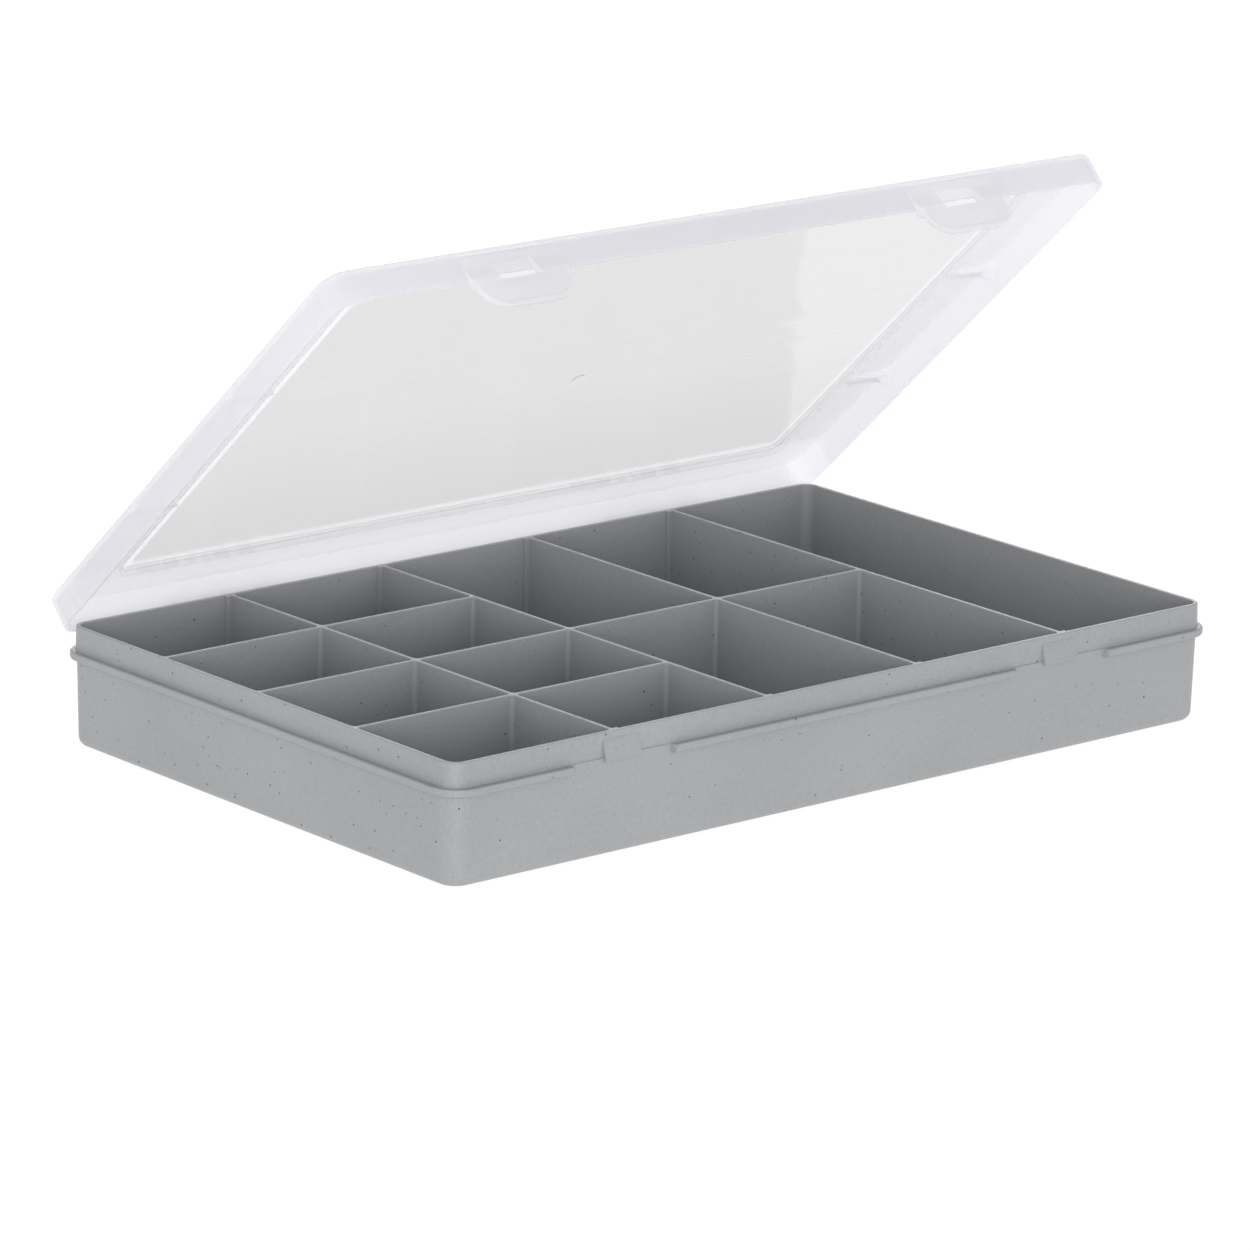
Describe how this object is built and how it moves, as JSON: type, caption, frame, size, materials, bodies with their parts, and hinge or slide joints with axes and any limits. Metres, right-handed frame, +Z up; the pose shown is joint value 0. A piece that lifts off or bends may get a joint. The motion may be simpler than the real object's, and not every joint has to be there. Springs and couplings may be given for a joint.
{
  "type": "tackle organiser box",
  "caption": "Flat rectangular organiser box with fixed compartments of several sizes, a translucent hinged lid with a clear window, and snap latches on pull tabs.",
  "frame": {"origin": "centre of the tray's underside", "axes": "+X along the length from left to right seen from the front, +Y towards the hinges at the back, +Z up"},
  "size_m": [0.291, 0.19, 0.1626],
  "materials": {
    "tray_grey": "satin grey polypropylene with fine dark specks",
    "lid_frosted": "frosted translucent polypropylene",
    "lid_clear": "polished clear polypropylene"
  },
  "bodies": {
    "tray": {"divider_posts": "tray_grey", "front_row_divider_1": "tray_grey", "front_row_divider_2": "tray_grey", "hinge_lugs_left": "tray_grey", "hinge_lugs_right": "tray_grey", "hinge_pin_left": "tray_grey", "hinge_pin_right": "tray_grey", "latch_catch_left": "tray_grey", "latch_catch_right": "tray_grey", "lid_ledge_back": "tray_grey", "lid_ledge_front": "tray_grey", "lid_ledge_left": "tray_grey", "lid_ledge_right": "tray_grey", "long_divider_1": "tray_grey", "long_divider_2": "tray_grey", "long_divider_3": "tray_grey", "long_divider_4": "tray_grey", "middle_row_divider_1": "tray_grey", "middle_row_divider_2": "tray_grey", "middle_row_divider_3": "tray_grey", "middle_row_divider_4": "tray_grey", "rear_row_divider_1": "tray_grey", "rear_row_divider_2": "tray_grey", "tray_back_wall": "tray_grey", "tray_floor": "tray_grey", "tray_front_wall": "tray_grey", "tray_left_wall": "tray_grey", "tray_right_wall": "tray_grey"},
    "lid": {"hinge_claw_left_1": "lid_frosted", "hinge_claw_left_2": "lid_frosted", "hinge_claw_left_3": "lid_frosted", "hinge_claw_left_4": "lid_frosted", "hinge_claw_right_1": "lid_frosted", "hinge_claw_right_2": "lid_frosted", "hinge_claw_right_3": "lid_frosted", "hinge_claw_right_4": "lid_frosted", "lid_border_back": "lid_frosted", "lid_border_front": "lid_frosted", "lid_border_left": "lid_frosted", "lid_border_right": "lid_frosted", "lid_gussets": "lid_frosted", "lid_skirt_back": "lid_frosted", "lid_skirt_front": "lid_frosted", "lid_skirt_left": "lid_frosted", "lid_skirt_right": "lid_frosted", "lid_window": "lid_clear"},
    "latch_left": {"pull_tab_left": "lid_frosted"},
    "latch_right": {"pull_tab_right": "lid_frosted"}
  },
  "joints": [
    {"name": "lid_hinge", "type": "hinge", "parent": "tray", "child": "lid", "pos_m": [0, 0.0952, 0.0284], "axis": [-1, 0, 0], "range_deg": [-43, 137]},
    {"name": "left_latch_flex", "type": "hinge", "parent": "lid", "child": "latch_left", "pos_m": [-0.0833, -0.03439, 0.16121], "axis": [-1, 0, 0], "range_deg": [0, 8], "stiffness_Nm_per_rad": 1},
    {"name": "right_latch_flex", "type": "hinge", "parent": "lid", "child": "latch_right", "pos_m": [0.0833, -0.03439, 0.16121], "axis": [-1, 0, 0], "range_deg": [0, 8], "stiffness_Nm_per_rad": 1}
  ]
}
